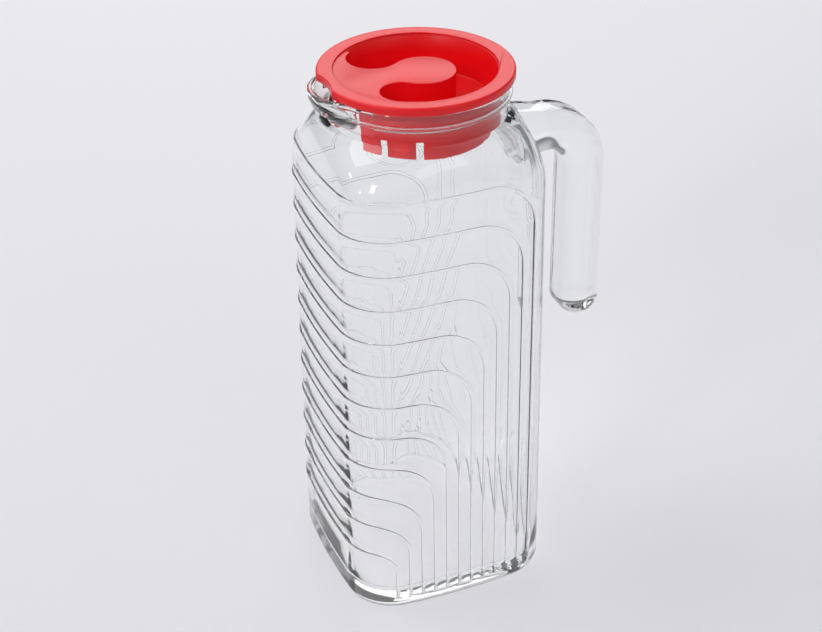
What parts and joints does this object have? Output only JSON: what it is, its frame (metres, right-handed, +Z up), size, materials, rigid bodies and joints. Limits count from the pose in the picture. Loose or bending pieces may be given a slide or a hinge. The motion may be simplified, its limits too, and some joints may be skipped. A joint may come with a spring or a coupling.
{
  "type": "fridge water jug",
  "caption": "Tall square glass jug with ribbed sides, a pouring spout, an open-ended handle and a round lid with a finger grip.",
  "frame": {"origin": "centre of the foot, on the surface that the jug stands on", "axes": "+Z up, +X towards the handle, -X towards the spout"},
  "size_m": [0.1503, 0.1088, 0.274],
  "materials": {
    "clear_glass": "polished",
    "red_plastic": "satin"
  },
  "bodies": {
    "jug": {"glass_jug": "clear_glass"},
    "lid": {"lid": "red_plastic"}
  },
  "joints": [
    {"name": "lid_lift", "type": "slide", "parent": "jug", "child": "lid", "axis": [0, 0, 1], "range_m": [0, 0.06]}
  ]
}
